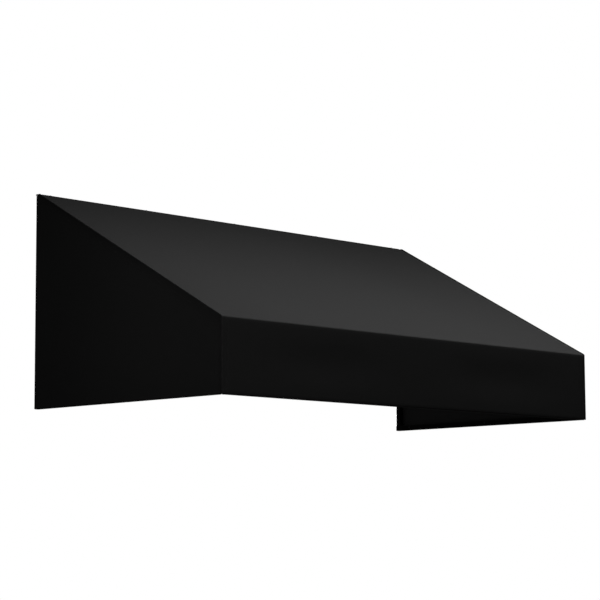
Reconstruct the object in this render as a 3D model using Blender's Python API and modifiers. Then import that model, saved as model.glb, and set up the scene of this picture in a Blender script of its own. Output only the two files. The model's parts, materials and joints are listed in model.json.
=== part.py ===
"""A fixed fabric awning: a welded frame of square tube under a tight sewn cover, to be screwed to a wall.

Metres, +Z up. X runs along the wall and +Y into it. The origin is the middle of the header tube's back face.
Left and right are as seen by someone who stands in front of the awning and looks at the wall.
"""

from math import atan2, cos, pi, radians, sin, sqrt, tan

import bmesh
import bpy
from mathutils import Matrix, Vector

# Overall sizes, over the cloth
WIDTH = 1.83
PROJECTION = 0.9
HEIGHT = 0.72  # at the wall, from the lower hem to the cloth on the header
FRONT_HEIGHT = 0.239  # at the front, from the lower hem to the fold

# Frame
TUBE = 0.01905
TUBE_WALL = 0.0015
TUBE_RADIUS = 0.002
CORNER_STEPS = 3
SEAT = 0.0003  # what touching pieces keep between them
FRONT_BAR_DROP = 0.003  # the front top bar lies this far under the corner that the slope and the front make
NOSE_CLEARANCE = 0.001  # from a rafter's nose to where the cloth begins to fold
PLUG_FLANGE = 0.002
PLUG_CHAMFER = 0.0015
PLUG_DEPTH = 0.016
PLUG_CLEARANCE = 0.0004
PLUG_RIB = 0.0025
PLUG_RIB_GROOVE = 0.0008
WELD_LEG = 0.0035
WELD_CROWN = 0.6  # how far the bead's crown lies from the joint along each leg, as a share of the leg
WELD_BITE = 0.0004  # how deep the bead goes into its own tube

# Cover
CLOTH = 0.001
HEM_FLAP = 0.017  # how far a hem reaches up the inner face of its tube
HEM_RADIUS = 0.0025
HEADER_BEND_RADIUS = 0.008
FOLD_RADIUS = 0.005
EDGE_CLEARANCE = 0.0005  # from the cloth's rear edges to the wall
SLOPE_SAG = 0.005
FRONT_DISH = 0.0015
WING_DISH = 0.003
BARE_BESIDE_TUBE = 0.006  # the cloth stays flat this far past a tube's face
HEM_CORNER_CLEARANCE = 0.0015
WELT_RADIUS = 0.0022
WELT_PROUD = 0.0006
BAY_COLUMNS = 10
ARC_STEPS = 4

# Battens and brackets
BATTEN_WIDTH = 0.0127
BATTEN_THICKNESS = 0.002
BATTEN_END_CLEARANCE = 0.012
BATTEN_CORNER = 0.0006
BRACKET_WIDTH = 0.025
BRACKET_THICKNESS = 0.003
BRACKET_BEND_RADIUS = 0.0045
WALL_LEG = 0.045
TUBE_LEG = 0.017
WALL_HOLE_RADIUS = 0.0035
WALL_HOLE_FROM_END = 0.013
HEADER_BRACKET_INSET = 0.16  # from the side of the awning to an outer header bracket
FOOT_BRACKET_HEIGHT = 0.17  # over the lower edge of the frame, so that the front hides it

# Screws
SHANK_RADIUS = 0.0021
SCREW_REACH = 0.009  # from the face that the head sits on to the point
POINT_LENGTH = 0.003
HOLE_CLEARANCE = 0.0003
PAN_RADIUS = 0.0036
PAN_HEIGHT = 0.0016
FLANGE_RADIUS = 0.0052
FLANGE_HEIGHT = 0.0009
HEX_RADIUS = 0.0046
HEX_HEIGHT = 0.0042
ROUND_STEPS = 12
HEADER_SCREWS = 5
FRONT_SCREWS = 5
SIDE_SCREWS = 3
SCREW_END_DISTANCE = 0.04

# Places that follow from the sizes above
SKIN = SEAT + CLOTH
FRAME_HALF = WIDTH / 2 - SKIN
FRAME_TOP = TUBE / 2
FRAME_BOTTOM = FRAME_TOP + 2 * SKIN - HEIGHT
FRAME_FRONT = SKIN - PROJECTION
FOLD_Z = FRAME_BOTTOM - 2 * SKIN + FRONT_HEIGHT
SLOPE = atan2(FRAME_TOP - FOLD_Z, -TUBE - FRAME_FRONT)
FRONT_BAR_TOP = FOLD_Z - FRONT_BAR_DROP
FOLD_REACH = FOLD_RADIUS * tan((pi / 2 - SLOPE) / 2)  # along the slope, from its corner to the fold's start
SIDE_TUBE_X = FRAME_HALF - TUBE / 2
BACK_Y = -TUBE / 2
FRONT_Y = FRAME_FRONT + TUBE / 2
BOTTOM_Z = FRAME_BOTTOM + TUBE / 2
WELD_LENGTH = TUBE - 3 * TUBE_RADIUS
PANEL_INSET = sqrt((WELT_RADIUS + SEAT) ** 2 - WELT_PROUD**2) - WELT_PROUD
SIDES = {"left": -1, "right": 1}

AWNING = "awning"
X_AXIS = Vector((1, 0, 0))
Y_AXIS = Vector((0, 1, 0))
Z_AXIS = Vector((0, 0, 1))


def clear_scene():
    for old in list(bpy.data.objects):
        bpy.data.objects.remove(old, do_unlink=True)


def new_collection(name):
    collection = bpy.data.collections.new(name)
    bpy.context.scene.collection.children.link(collection)
    return collection


def new_material(name, colour, roughness, metallic=0.0):
    material = bpy.data.materials.new(name)
    material.use_nodes = True
    shader = material.node_tree.nodes["Principled BSDF"]
    shader.inputs["Base Color"].default_value = (*colour, 1)
    shader.inputs["Roughness"].default_value = roughness
    shader.inputs["Metallic"].default_value = metallic
    material.diffuse_color = (*colour, 1)
    return material


clear_scene()
parts = new_collection(AWNING)
cutters = new_collection("cutters")
cutters.hide_render = True
cloth_black = new_material("cloth_black", (0.012, 0.012, 0.013), 0.85)
welt_black = new_material("welt_black", (0.008, 0.008, 0.009), 0.7)
frame_black = new_material("frame_black", (0.01, 0.01, 0.01), 0.45, 0.4)
strip_black = new_material("strip_black", (0.012, 0.012, 0.012), 0.4, 0.6)
plug_black = new_material("plug_black", (0.015, 0.015, 0.015), 0.6)
zinc = new_material("zinc", (0.55, 0.56, 0.57), 0.35, 1.0)


def add_object(name, mesh, material):
    obj = bpy.data.objects.new(name, mesh)
    mesh.materials.append(material)
    parts.objects.link(obj)
    return obj


def add_cutter(name, mesh):
    cutter = bpy.data.objects.new(name, mesh)
    cutter.display_type = "WIRE"
    cutter.hide_render = True
    cutters.objects.link(cutter)
    return cutter


def finish_mesh(shape, name):
    mesh = bpy.data.meshes.new(name)
    shape.to_mesh(mesh)
    shape.free()
    return mesh


def point_along(obj, direction):
    """Turns an object so that its Z axis lies along direction, with its Y axis as upright as it can be."""
    obj.rotation_euler = direction.to_track_quat("Z", "Y").to_euler()


def boolean(obj, cutter, operation="DIFFERENCE"):
    modifier = obj.modifiers.new(cutter.name, "BOOLEAN")
    modifier.operation = operation
    modifier.object = cutter


def box_between(low, high):
    """A block between two opposite corners, as a bmesh."""
    shape = bmesh.new()
    middle = (Vector(low) + Vector(high)) / 2
    size = Vector(high) - Vector(low)
    place = Matrix.Translation(middle) @ Matrix.Diagonal((*size, 1))
    bmesh.ops.create_cube(shape, size=1, matrix=place)
    return shape


def box_cutter(name, low, high):
    return add_cutter(name, finish_mesh(box_between(low, high), name))


def evenly(first, last, count):
    return [first + (last - first) * i / (count - 1) for i in range(count)]


def rounded_square(side, radius, steps):
    """The points of a square with rounded corners, in the XY plane."""
    reach = side / 2 - radius
    points = []
    for quarter in range(4):
        centre = Matrix.Rotation(quarter * pi / 2, 2) @ Vector((reach, reach))
        for step in range(steps + 1):
            turn = (quarter + step / steps) * pi / 2
            points.append(centre + radius * Vector((cos(turn), sin(turn))))
    return points


def square_prism(side, radius, low, high, steps=CORNER_STEPS):
    """An open-ended surface with a rounded square section, from low to high along Z, as a bmesh."""
    shape = bmesh.new()
    ring = [shape.verts.new((*point, low)) for point in rounded_square(side, radius, steps)]
    edges = [shape.edges.new((ring[i - 1], ring[i])) for i in range(len(ring))]
    grown = bmesh.ops.extrude_edge_only(shape, edges=edges)["geom"]
    moved = [item for item in grown if isinstance(item, bmesh.types.BMVert)]
    bmesh.ops.translate(shape, verts=moved, vec=(0, 0, high - low))
    return shape


def square_tube(name, start, end):
    """A length of the frame's tube with square-cut, open ends."""
    start, end = Vector(start), Vector(end)
    shape = square_prism(TUBE, TUBE_RADIUS, 0, (end - start).length)
    bmesh.ops.recalc_face_normals(shape, faces=shape.faces)
    obj = add_object(name, finish_mesh(shape, name), frame_black)
    obj.location = start
    point_along(obj, (end - start).normalized())
    wall = obj.modifiers.new("wall", "SOLIDIFY")
    wall.thickness = TUBE_WALL
    wall.offset = -1
    wall.use_even_offset = True
    return obj


def plug(name, end, outwards):
    """A moulded plug: a flange over end, which is the tube's own end, and a ribbed shank inside it."""
    bore = TUBE - 2 * TUBE_WALL - 2 * PLUG_CLEARANCE
    groove = bore - 2 * PLUG_RIB_GROOVE
    outer = SEAT + PLUG_FLANGE
    shape = square_prism(TUBE, TUBE_RADIUS, SEAT, outer)
    bmesh.ops.holes_fill(shape, edges=shape.edges)
    bmesh.ops.recalc_face_normals(shape, faces=shape.faces)
    rim = [edge for edge in shape.edges if min(vertex.co.z for vertex in edge.verts) > outer - SEAT]
    bmesh.ops.bevel(shape, geom=rim, offset=PLUG_CHAMFER, segments=1, affect="EDGES")
    obj = add_object(name, finish_mesh(shape, name), plug_black)
    lands = []
    count = int(PLUG_DEPTH / (2 * PLUG_RIB))
    for i in range(count):
        low = -PLUG_DEPTH + 2 * PLUG_RIB * i
        lands.append((bore, low, low + PLUG_RIB))
    lands.append((groove, -PLUG_DEPTH + PLUG_RIB / 2, SEAT + PLUG_FLANGE / 2))
    for number, (side, low, high) in enumerate(lands):
        land = square_prism(side, PLUG_RIB_GROOVE, low, high, 1)
        bmesh.ops.holes_fill(land, edges=land.edges)
        bmesh.ops.recalc_face_normals(land, faces=land.faces)
        cutter = add_cutter(f"{name}_land_{number}", finish_mesh(land, name))
        cutter.location = end
        point_along(cutter, outwards)
        boolean(obj, cutter, "UNION")
    obj.location = end
    point_along(obj, outwards)


def drill(name, places, direction, radius, half_length):
    """One cutter with a round bar through each place, along direction."""
    shape = bmesh.new()
    turn = direction.to_track_quat("Z", "Y").to_matrix().to_4x4()
    for place in places:
        bmesh.ops.create_cone(
            shape,
            cap_ends=True,
            segments=ROUND_STEPS,
            radius1=radius,
            radius2=radius,
            depth=2 * half_length,
            matrix=Matrix.Translation(place) @ turn,
        )
    return add_cutter(name, finish_mesh(shape, name))


def turned(name, profile, material):
    """A turned piece from its profile, (radius, height) pairs down the outer side."""
    shape = bmesh.new()
    points = [shape.verts.new((radius, 0, height)) for radius, height in profile]
    for above, below in zip(points, points[1:]):
        shape.edges.new((above, below))
    obj = add_object(name, finish_mesh(shape, name), material)
    turn = obj.modifiers.new("turn", "SCREW")
    turn.steps = turn.render_steps = ROUND_STEPS
    turn.use_merge_vertices = True
    turn.merge_threshold = 0.00001
    return obj


def pan_screw(name, place, outwards):
    """A pan-head screw whose head sits on the face at place."""
    base = SEAT
    profile = [
        (0, base + PAN_HEIGHT),
        (0.7 * PAN_RADIUS, base + 0.85 * PAN_HEIGHT),
        (PAN_RADIUS, base + 0.4 * PAN_HEIGHT),
        (PAN_RADIUS, base),
        (SHANK_RADIUS, base),
        (SHANK_RADIUS, POINT_LENGTH - SCREW_REACH),
        (0, -SCREW_REACH),
    ]
    obj = turned(name, profile, zinc)
    obj.location = place
    point_along(obj, outwards)


def hex_screw(name, place, outwards):
    """A self-drilling screw with a hexagon head on a round flange."""
    base = SEAT
    profile = [
        (0, base + 1.5 * FLANGE_HEIGHT),
        (0.85 * FLANGE_RADIUS, base + FLANGE_HEIGHT),
        (FLANGE_RADIUS, base + 0.5 * FLANGE_HEIGHT),
        (FLANGE_RADIUS, base),
        (SHANK_RADIUS, base),
        (SHANK_RADIUS, POINT_LENGTH - SCREW_REACH),
        (0, -SCREW_REACH),
    ]
    obj = turned(name, profile, zinc)
    obj.location = place
    point_along(obj, outwards)
    head = bmesh.new()
    middle = base + (FLANGE_HEIGHT + HEX_HEIGHT) / 2
    bmesh.ops.create_cone(
        head,
        cap_ends=True,
        segments=6,
        radius1=HEX_RADIUS,
        radius2=HEX_RADIUS,
        depth=HEX_HEIGHT,
        matrix=Matrix.Translation((0, 0, middle)),
    )
    cutter = add_cutter(name + "_head", finish_mesh(head, name))
    cutter.location = place
    point_along(cutter, outwards)
    boolean(obj, cutter, "UNION")


def batten(name, centre, size):
    """A flat bar with eased edges. size is its extent along X, Y and Z."""
    half = Vector(size) / 2
    mesh = finish_mesh(box_between(-half, half), name)
    obj = add_object(name, mesh, strip_black)
    obj.location = centre
    ease = obj.modifiers.new("ease", "BEVEL")
    ease.width = BATTEN_CORNER
    ease.segments = 1
    return obj


def offset_outline(points, distance):
    """An open outline in (y, z) moved outwards, which is to the right of its direction seen from +X."""
    normals = []
    for a, b in zip(points, points[1:]):
        along = (b - a).normalized()
        normals.append(Vector((along.y, -along.x)))
    moved = []
    for i, point in enumerate(points):
        first = normals[max(i - 1, 0)]
        second = normals[min(i, len(normals) - 1)]
        moved.append(point + (first + second) / (1 + first.dot(second)) * distance)
    return moved


def rounded_rows(corners, radii, runs):
    """Rows along an open outline with rounded corners: (point, outward normal, run number, share of the run).

    A run is a straight stretch. A row on a bend has the share 1 of the run before it.
    """
    bends = []
    for before, corner, after, radius in zip(corners, corners[1:], corners[2:], radii):
        back = (before - corner).normalized()
        on = (after - corner).normalized()
        half = back.angle(on) / 2
        centre = corner + (back + on).normalized() * radius / sin(half)
        reach = radius / tan(half)
        bends.append((corner + back * reach, centre, corner + on * reach, radius))
    starts = [corners[0]] + [bend[2] for bend in bends]
    ends = [bend[0] for bend in bends] + [corners[-1]]
    rows = []
    for run, (start, end) in enumerate(zip(starts, ends)):
        along = (end - start).normalized()
        normal = Vector((along.y, -along.x))
        for step in range(runs[run] + 1):
            share = step / runs[run]
            rows.append((start.lerp(end, share), normal, run, share))
        if run < len(bends):
            begin, centre, finish, radius = bends[run]
            for step in range(1, ARC_STEPS):
                outwards = (begin - centre).slerp(finish - centre, step / ARC_STEPS).normalized()
                rows.append((centre + outwards * radius, outwards, run, 1))
    return rows


def cloth_panel(name, columns, rows, place, turn_over):
    """A panel of cloth: a grid moved to place(column, row) and thickened outwards."""
    shape = bmesh.new()
    across, down = len(columns) - 1, len(rows) - 1
    bmesh.ops.create_grid(shape, x_segments=across, y_segments=down, size=1)
    for vertex in shape.verts:
        column = columns[round((vertex.co.x + 1) / 2 * across)]
        row = rows[round((vertex.co.y + 1) / 2 * down)]
        vertex.co = place(column, row)
    if turn_over:
        bmesh.ops.reverse_faces(shape, faces=shape.faces)
    obj = add_object(name, finish_mesh(shape, name), cloth_black)
    thick = obj.modifiers.new("thick", "SOLIDIFY")
    thick.thickness = CLOTH
    thick.offset = 1
    thick.use_even_offset = True
    return obj


# Outline of the frame in (y, z): over the header, down the slope and the front, under and behind the front bar
CORNERS = [
    Vector((-EDGE_CLEARANCE, FRAME_TOP)),
    Vector((-TUBE, FRAME_TOP)),
    Vector((FRAME_FRONT, FOLD_Z)),
    Vector((FRAME_FRONT, FRAME_BOTTOM)),
    Vector((FRAME_FRONT + TUBE, FRAME_BOTTOM)),
    Vector((FRAME_FRONT + TUBE, FRAME_BOTTOM + HEM_FLAP)),
]
BENDS = [HEADER_BEND_RADIUS, FOLD_RADIUS, HEM_RADIUS, HEM_RADIUS]
SLOPE_RUN = 1
FRONT_RUN = 2
FIRST_BAY_X = TUBE / 2 + BARE_BESIDE_TUBE
LAST_BAY_X = FRAME_HALF - TUBE - BARE_BESIDE_TUBE


def swell(value, low, high):
    """0 outside low to high, rising smoothly to 1 midway between them."""
    return sin(pi * min(max((value - low) / (high - low), 0), 1)) ** 2


def bay_share(x):
    """0 on the tubes and 1 midway between the middle tube and a side tube."""
    return swell(abs(x), FIRST_BAY_X, LAST_BAY_X)


def cover_columns():
    bay = evenly(FIRST_BAY_X, LAST_BAY_X, BAY_COLUMNS + 1)
    edge = WIDTH / 2 - PANEL_INSET
    half = [*bay, edge]
    return [-x for x in reversed(half)] + half


def place_cover(x, row):
    point, normal, run, share = row
    sag = 0
    if run == SLOPE_RUN:
        sag = SLOPE_SAG * sin(pi * share)
    if run == FRONT_RUN:
        sag = FRONT_DISH * swell(point.y, BOTTOM_Z + FIRST_BAY_X, FRONT_BAR_TOP - TUBE - BARE_BESIDE_TUBE)
    moved = point - normal * sag * bay_share(x)
    return Vector((x, moved.x, moved.y))


def make_cover_top():
    rows = rounded_rows(offset_outline(CORNERS, SEAT), BENDS, [1, 12, 8, 1, 1])
    cover = cloth_panel("cover_top", cover_columns(), rows, place_cover, True)
    for side, sign in SIDES.items():
        inner = sign * (FRAME_HALF - TUBE - HEM_CORNER_CLEARANCE)
        outer = sign * WIDTH
        low = (min(inner, outer), FRAME_FRONT + TUBE - HEM_RADIUS, FRAME_BOTTOM - TUBE)
        high = (max(inner, outer), FRAME_FRONT + 2 * TUBE, FRAME_BOTTOM + 2 * TUBE)
        boolean(cover, box_cutter(f"hem_notch_{side}", low, high))
    return cover


def make_wing(side, sign):
    """A side panel, with its hem turned under the bottom rail and up its inner face."""
    top = rounded_rows(offset_outline(CORNERS[:4], SKIN - PANEL_INSET), BENDS, [1, 14, 1])
    columns = [row[0] for row in top if row[2] != FRONT_RUN] + [top[-2][0]]
    edge = [
        Vector((-FRAME_HALF, FRAME_TOP)),
        Vector((-FRAME_HALF, FRAME_BOTTOM)),
        Vector((-FRAME_HALF + TUBE, FRAME_BOTTOM)),
        Vector((-FRAME_HALF + TUBE, FRAME_BOTTOM + HEM_FLAP)),
    ]
    rows = rounded_rows(offset_outline(edge, SEAT), [HEM_RADIUS, HEM_RADIUS], [8, 1, 1])
    hem_start = next(row[0].y for row in rows if row[2] == 0 and row[3] == 1)

    def place(column, row):
        y, top_z = column
        point, _, run, share = row
        x, z = point
        if run == 0 and share < 1:
            z = top_z + (hem_start - top_z) * share
            along = swell(-y, TUBE, -FRAME_FRONT - TUBE)
            up = swell(z, BOTTOM_Z + FIRST_BAY_X, top_z - TUBE / cos(SLOPE) - BARE_BESIDE_TUBE)
            x += WING_DISH * along * up
        return Vector((-sign * x, y, z))

    wing = cloth_panel(f"cover_wing_{side}", columns, rows, place, sign < 0)
    inner = sign * (FRAME_HALF - 2 * TUBE)
    outer = sign * (FRAME_HALF + SEAT / 2)
    low = (min(inner, outer), FRAME_FRONT - TUBE, FRAME_BOTTOM - TUBE)
    high = (max(inner, outer), FRAME_FRONT + TUBE + HEM_CORNER_CLEARANCE, FRAME_BOTTOM + 2 * TUBE)
    boolean(wing, box_cutter(f"hem_notch_front_{side}", low, high))
    return wing


def make_welt(side, sign):
    """The corded seam along the slope's edge and down the front corner."""
    outline = offset_outline(CORNERS[:4], SKIN + WELT_PROUD)
    radii = [HEADER_BEND_RADIUS + CLOTH, FOLD_RADIUS + CLOTH]
    rows = rounded_rows(outline, radii, [1, 6, 3])
    data = bpy.data.curves.new(f"welt_{side}", "CURVE")
    data.dimensions = "3D"
    data.bevel_depth = WELT_RADIUS
    data.bevel_resolution = 1
    data.use_fill_caps = True
    line = data.splines.new("POLY")
    line.points.add(len(rows) - 1)
    x = sign * (WIDTH / 2 + WELT_PROUD)
    for target, row in zip(line.points, rows):
        target.co = (x, row[0].x, row[0].y, 1)
    obj = bpy.data.objects.new(f"welt_{side}", data)
    data.materials.append(welt_black)
    parts.objects.link(obj)


def weld(tube, corner, off_joint, off_face):
    """Adds a fillet weld to a tube, in the corner between one of its faces and the tube that its end meets.

    corner is the middle of the line where they meet. From there, off_joint runs along the face, and off_face
    away from it.
    """
    across = off_joint.cross(off_face)
    crown = WELD_CROWN * WELD_LEG
    section = [(SEAT / 2, -WELD_BITE), (WELD_LEG, -WELD_BITE), (crown, crown), (SEAT / 2, WELD_LEG)]
    shape = bmesh.new()
    for end in (-WELD_LENGTH / 2, WELD_LENGTH / 2):
        places = [corner + along * off_joint + out * off_face + end * across for along, out in section]
        shape.faces.new([shape.verts.new(place) for place in places])
    bmesh.ops.bridge_loops(shape, edges=shape.edges)
    bmesh.ops.recalc_face_normals(shape, faces=shape.faces)
    name = f"{tube.name}_weld_{len(tube.modifiers)}"
    boolean(tube, add_cutter(name, finish_mesh(shape, name)), "UNION")


def make_cross_bar(name, y, z):
    """A tube along the whole width, with a plug in each end."""
    reach = FRAME_HALF - PLUG_FLANGE - SEAT
    bar = square_tube(name, (-reach, y, z), (reach, y, z))
    stem = name.removesuffix("_bar").removesuffix("_tube")
    for side, sign in SIDES.items():
        plug(f"{stem}_plug_{side}", Vector((sign * reach, y, z)), sign * X_AXIS)
    return bar


def inner_faces(x):
    """The directions in which an upright tube at x has a face inside the awning."""
    if x == 0:
        return [X_AXIS, -X_AXIS]
    return [-X_AXIS if x > 0 else X_AXIS]


def make_post(name, x, low, high):
    """An upright tube between the two front bars."""
    post = square_tube(name, (x, FRONT_Y, low), (x, FRONT_Y, high))
    for face in inner_faces(x):
        for end, off_joint in ((low, Z_AXIS), (high, -Z_AXIS)):
            weld(post, Vector((x, FRONT_Y, end)) + face * TUBE / 2, off_joint, face)


def make_rafter(name, x):
    """A sloping tube, cut upright at the header and coped over the front top bar."""
    down = Vector((0, -cos(SLOPE), -sin(SLOPE)))
    inwards = Vector((0, sin(SLOPE), -cos(SLOPE)))
    start = Vector((x, -TUBE, FRAME_TOP)) + inwards * TUBE / 2 - down * TUBE
    end = Vector((x, FRAME_FRONT, FOLD_Z)) + inwards * TUBE / 2 + down * TUBE
    rafter = square_tube(name, start, end)
    low_z, high_z = FRAME_BOTTOM, FRAME_TOP + 2 * TUBE
    west, east = x - TUBE, x + TUBE
    header_end = box_cutter(f"{name}_header_cut", (west, -TUBE - SEAT, -2 * TUBE), (east, 2 * TUBE, high_z))
    bar_end = box_cutter(
        f"{name}_cope",
        (west, FRAME_FRONT - 3 * TUBE, low_z),
        (east, FRAME_FRONT + TUBE + SEAT, FRONT_BAR_TOP + SEAT),
    )
    nose = box_cutter(
        f"{name}_nose_cut",
        (west, FRAME_FRONT - 3 * TUBE, low_z),
        (east, FRAME_FRONT + FOLD_REACH * cos(SLOPE) + NOSE_CLEARANCE, high_z),
    )
    for cutter in (header_end, bar_end, nose):
        boolean(rafter, cutter)
    for face in inner_faces(x):
        header_joint = Vector((x, -TUBE - SEAT, FRAME_TOP - TUBE / 2)) + face * TUBE / 2
        weld(rafter, header_joint, -Y_AXIS, face)
    under = FRAME_TOP - (-FRAME_FRONT - 2 * TUBE - SEAT) * tan(SLOPE) - TUBE / cos(SLOPE)
    weld(rafter, Vector((x, FRAME_FRONT + TUBE + SEAT, under)), Y_AXIS, -Z_AXIS)


def wall_bracket(name, corner, along_wall, carrier):
    """A bent plate: one leg flat on the wall, the other on a tube and screwed to it.

    corner is where the two legs meet, on the wall. The tube lies on the far side of the tube leg from
    along_wall.
    """
    forward = -Y_AXIS
    across = along_wall.cross(forward)
    bend = BRACKET_BEND_RADIUS
    inner = bend - BRACKET_THICKNESS
    outline = [Vector((0, TUBE_LEG))]
    for step in range(ARC_STEPS + 1):
        turn = pi + step / ARC_STEPS * pi / 2
        outline.append(Vector((bend, bend)) + bend * Vector((cos(turn), sin(turn))))
    outline += [Vector((WALL_LEG, 0)), Vector((WALL_LEG, BRACKET_THICKNESS))]
    for step in range(ARC_STEPS + 1):
        turn = 3 * pi / 2 - step / ARC_STEPS * pi / 2
        outline.append(Vector((bend, bend)) + inner * Vector((cos(turn), sin(turn))))
    outline.append(Vector((BRACKET_THICKNESS, TUBE_LEG)))
    data = bpy.data.curves.new(name, "CURVE")
    data.dimensions = "2D"
    data.fill_mode = "BOTH"
    data.extrude = BRACKET_WIDTH / 2
    line = data.splines.new("POLY")
    line.points.add(len(outline) - 1)
    line.use_cyclic_u = True
    for target, point in zip(line.points, outline):
        target.co = (*point, 0, 1)
    guide = bpy.data.objects.new(name + "_outline", data)
    parts.objects.link(guide)
    turn = Matrix((along_wall, forward, across)).transposed().to_4x4()
    guide.matrix_world = Matrix.Translation(corner) @ turn
    plate = mesh_from_curve(name, guide, strip_black)
    wall_hole = corner + along_wall * (WALL_LEG - WALL_HOLE_FROM_END) + forward * BRACKET_THICKNESS / 2
    boolean(plate, drill(f"{name}_wall_hole", [wall_hole], forward, WALL_HOLE_RADIUS, BRACKET_THICKNESS))
    face = corner + along_wall * BRACKET_THICKNESS + forward * (TUBE_LEG + bend) / 2
    hole = drill(f"{name}_screw_hole", [face], along_wall, SHANK_RADIUS + HOLE_CLEARANCE, SCREW_REACH)
    boolean(plate, hole)
    boolean(carrier, hole)
    hex_screw(name.replace("bracket", "screw"), face, along_wall)


def mesh_from_curve(name, guide, material):
    """A mesh object in the place of a curve object, with its caps welded. The curve is removed."""
    bpy.context.view_layer.update()
    evaluated = guide.evaluated_get(bpy.context.evaluated_depsgraph_get())
    mesh = bpy.data.meshes.new_from_object(evaluated)
    mesh.materials.clear()
    shape = bmesh.new()
    shape.from_mesh(mesh)
    bmesh.ops.remove_doubles(shape, verts=shape.verts, dist=0.00001)
    shape.to_mesh(mesh)
    shape.free()
    obj = add_object(name, mesh, material)
    obj.matrix_world = guide.matrix_world.copy()
    bpy.data.objects.remove(guide, do_unlink=True)
    return obj


def clamp(name, centre, length, along, outwards, count, held):
    """A batten flat on the cloth at centre, and a row of screws through it, the cloth and the tube's wall."""
    thick = Vector([abs(v) for v in outwards]) * BATTEN_THICKNESS
    long = Vector([abs(v) for v in along]) * length
    wide = Vector([abs(v) for v in along.cross(outwards)]) * BATTEN_WIDTH
    bar = batten(name, centre + outwards * BATTEN_THICKNESS / 2, thick + long + wide)
    face = centre + outwards * BATTEN_THICKNESS
    reach = length / 2 - SCREW_END_DISTANCE
    places = [face + along * offset for offset in evenly(-reach, reach, count)]
    holes = drill(f"{name}_holes", places, outwards, SHANK_RADIUS + HOLE_CLEARANCE, SCREW_REACH)
    for piece in (bar, *held):
        boolean(piece, holes)
    for number, place in enumerate(places, 1):
        pan_screw(f"{name}_screw_{number}", place, outwards)


def make_frame():
    """Builds the frame and returns the tubes that brackets and battens are screwed to, by name."""
    frame = {
        "header": make_cross_bar("header_tube", BACK_Y, FRAME_TOP - TUBE / 2),
        "front_bottom": make_cross_bar("front_bottom_bar", FRONT_Y, BOTTOM_Z),
    }
    make_cross_bar("front_top_bar", FRONT_Y, FRONT_BAR_TOP - TUBE / 2)
    make_rafter("rafter_middle", 0)
    post_low = FRAME_BOTTOM + TUBE + SEAT
    post_high = FRONT_BAR_TOP - TUBE - SEAT
    make_post("front_post_middle", 0, post_low, post_high)
    for side, sign in SIDES.items():
        x = sign * SIDE_TUBE_X
        foot = FRAME_BOTTOM + PLUG_FLANGE + SEAT
        head = FRAME_TOP - TUBE - SEAT
        upright = square_tube(f"rear_upright_{side}", (x, BACK_Y, foot), (x, BACK_Y, head))
        weld(upright, Vector((x - sign * TUBE / 2, BACK_Y, head)), -Z_AXIS, -sign * X_AXIS)
        plug(f"rear_upright_plug_{side}", Vector((x, BACK_Y, foot)), -Z_AXIS)
        make_post(f"front_post_{side}", x, post_low, post_high)
        rail_front = FRAME_FRONT + TUBE + SEAT
        rail_back = -TUBE - SEAT
        rail = square_tube(f"bottom_rail_{side}", (x, rail_front, BOTTOM_Z), (x, rail_back, BOTTOM_Z))
        weld(rail, Vector((x, rail_back, BOTTOM_Z + TUBE / 2)), -Y_AXIS, Z_AXIS)
        make_rafter(f"rafter_{side}", x)
        frame[f"upright_{side}"] = upright
        frame[f"rail_{side}"] = rail
    return frame


def make_brackets(frame):
    under_header = FRAME_TOP - TUBE - SEAT
    bracket_x = WIDTH / 2 - HEADER_BRACKET_INSET
    for place, x in (("left", -bracket_x), ("middle", 0), ("right", bracket_x)):
        corner = Vector((x, 0, under_header))
        wall_bracket(f"header_bracket_{place}", corner, -Z_AXIS, frame["header"])
    for side, sign in SIDES.items():
        corner = Vector((sign * (FRAME_HALF - TUBE - SEAT), 0, FRAME_BOTTOM + FOOT_BRACKET_HEIGHT))
        wall_bracket(f"foot_bracket_{side}", corner, -sign * X_AXIS, frame[f"upright_{side}"])


def make_clamps(frame, cover, wings):
    on_cloth = SKIN + SEAT
    top = Vector((0, BACK_Y, FRAME_TOP + on_cloth))
    header_length = WIDTH - 2 * BATTEN_END_CLEARANCE
    clamp("header_batten", top, header_length, X_AXIS, Z_AXIS, HEADER_SCREWS, (cover, frame["header"]))
    flap_z = FRAME_BOTTOM + TUBE / 2
    behind = Vector((0, FRAME_FRONT + TUBE + on_cloth, flap_z))
    front_length = 2 * (FRAME_HALF - TUBE - BATTEN_END_CLEARANCE)
    clamp("front_batten", behind, front_length, X_AXIS, Y_AXIS, FRONT_SCREWS, (cover, frame["front_bottom"]))
    side_length = -FRAME_FRONT - 2 * TUBE - 2 * BATTEN_END_CLEARANCE
    middle_y = FRAME_FRONT / 2
    for side, sign in SIDES.items():
        inner = Vector((sign * (FRAME_HALF - TUBE - on_cloth), middle_y, flap_z))
        held = (wings[side], frame[f"rail_{side}"])
        clamp(f"side_batten_{side}", inner, side_length, Y_AXIS, -sign * X_AXIS, SIDE_SCREWS, held)


def shade_smooth():
    for obj in parts.objects:
        if obj.type == "MESH":
            obj.data.shade_smooth()
            obj.data.set_sharp_from_angle(angle=radians(35))


def main():
    frame = make_frame()
    cover = make_cover_top()
    wings = {side: make_wing(side, sign) for side, sign in SIDES.items()}
    for side, sign in SIDES.items():
        make_welt(side, sign)
    make_brackets(frame)
    make_clamps(frame, cover, wings)
    shade_smooth()


main()
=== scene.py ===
"""How the awning looks: tight black canvas over a coated tube frame, seen from its left and from below.

Metres, in the frame's own axes: X along the wall, +Y into it, +Z up.
"""

import json
from collections import namedtuple
from math import atan2, ceil, cos, exp, hypot, pi, radians, sin, tan

import bmesh
import bpy
from mathutils import Matrix, Vector, noise


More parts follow.
